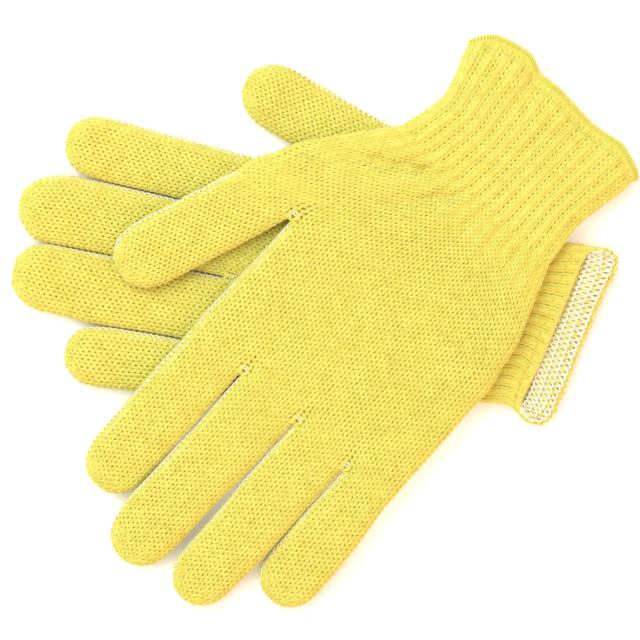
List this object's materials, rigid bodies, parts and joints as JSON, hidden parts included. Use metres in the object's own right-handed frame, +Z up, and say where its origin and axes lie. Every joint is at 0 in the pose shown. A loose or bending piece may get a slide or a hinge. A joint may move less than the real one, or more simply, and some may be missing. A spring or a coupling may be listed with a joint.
{
  "type": "pair of knitted cut resistant gloves",
  "caption": "Pair of yellow seamless knitted work gloves lying crossed, with finger stalls that fold, ribbed cuffs and white plated linings.",
  "frame": {"origin": "middle of the pair on the table it lies on", "axes": "+Z up; +Y along the upper glove to its fingertips; +X to the side of its thumb"},
  "size_m": [0.2249, 0.2628, 0.0203],
  "materials": {
    "knit": "coarse yellow yarn in plain stockinette, matt with a faint sheen",
    "rib": "the same yellow yarn in a close rib",
    "plating": "white stretch yarn, seen on the inside of the cuff",
    "overlock": "yellow overlock stitching over the rolled edge"
  },
  "bodies": {
    "lower_hand": {"lower_four_finger_palm": "knit", "lower_five_finger_palm": "knit", "lower_cuff": "rib", "lower_cuff_lining": "plating", "lower_hem": "overlock", "lower_index_base": "knit", "lower_middle_base": "knit", "lower_ring_base": "knit", "lower_little_base": "knit", "lower_thumb_base": "knit"},
    "upper_hand": {"upper_four_finger_palm": "knit", "upper_five_finger_palm": "knit", "upper_cuff": "rib", "upper_cuff_lining": "plating", "upper_hem": "overlock", "upper_index_base": "knit", "upper_middle_base": "knit", "upper_ring_base": "knit", "upper_little_base": "knit", "upper_thumb_base": "knit"},
    "lower_index_tip": {"lower_index_tip": "knit"},
    "lower_middle_tip": {"lower_middle_tip": "knit"},
    "lower_ring_tip": {"lower_ring_tip": "knit"},
    "lower_little_tip": {"lower_little_tip": "knit"},
    "lower_thumb_tip": {"lower_thumb_tip": "knit"},
    "upper_index_tip": {"upper_index_tip": "knit"},
    "upper_middle_tip": {"upper_middle_tip": "knit"},
    "upper_ring_tip": {"upper_ring_tip": "knit"},
    "upper_little_tip": {"upper_little_tip": "knit"},
    "upper_thumb_tip": {"upper_thumb_tip": "knit"}
  },
  "joints": [
    {"name": "lift_off", "type": "slide", "parent": "lower_hand", "child": "upper_hand", "axis": [0, 0, 1], "range_m": [0, 0.15]},
    {"name": "lower_index_fold", "type": "hinge", "parent": "lower_hand", "child": "lower_index_tip", "pos_m": [0.07759, 0.00321, 0.0095], "axis": [0.4756, -0.8796, 0], "range_deg": [0, 90]},
    {"name": "lower_middle_fold", "type": "hinge", "parent": "lower_hand", "child": "lower_middle_tip", "pos_m": [0.07549, 0.03456, 0.0095], "axis": [0.5299, -0.848, 0], "range_deg": [0, 90]},
    {"name": "lower_ring_fold", "type": "hinge", "parent": "lower_hand", "child": "lower_ring_tip", "pos_m": [0.06046, 0.05879, 0.0095], "axis": [0.5439, -0.8391, 0], "range_deg": [0, 90]},
    {"name": "lower_little_fold", "type": "hinge", "parent": "lower_hand", "child": "lower_little_tip", "pos_m": [0.03084, 0.07253, 0.00949], "axis": [0.6101, -0.7923, 0], "range_deg": [0, 90]},
    {"name": "lower_thumb_fold", "type": "hinge", "parent": "lower_hand", "child": "lower_thumb_tip", "pos_m": [0.05362, -0.0515, 0.00947], "axis": [0.2284, -0.9736, 0], "range_deg": [0, 90]},
    {"name": "upper_index_fold", "type": "hinge", "parent": "upper_hand", "child": "upper_index_tip", "pos_m": [0.00502, 0.08016, 0.01923], "axis": [0.9997, 0.0244, 0], "range_deg": [0, 90]},
    {"name": "upper_middle_fold", "type": "hinge", "parent": "upper_hand", "child": "upper_middle_tip", "pos_m": [-0.02404, 0.08696, 0.01726], "axis": [0.9998, 0.0175, 0], "range_deg": [0, 90]},
    {"name": "upper_ring_fold", "type": "hinge", "parent": "upper_hand", "child": "upper_ring_tip", "pos_m": [-0.05279, 0.08466, 0.01566], "axis": [0.9997, 0.0244, 0], "range_deg": [0, 90]},
    {"name": "upper_little_fold", "type": "hinge", "parent": "upper_hand", "child": "upper_little_tip", "pos_m": [-0.08007, 0.07326, 0.015], "axis": [0.9977, 0.068, 0], "range_deg": [0, 90]},
    {"name": "upper_thumb_fold", "type": "hinge", "parent": "upper_hand", "child": "upper_thumb_tip", "pos_m": [0.04711, 0.01539, 0.0193], "axis": [0.9455, -0.3256, 0], "range_deg": [0, 90]}
  ]
}
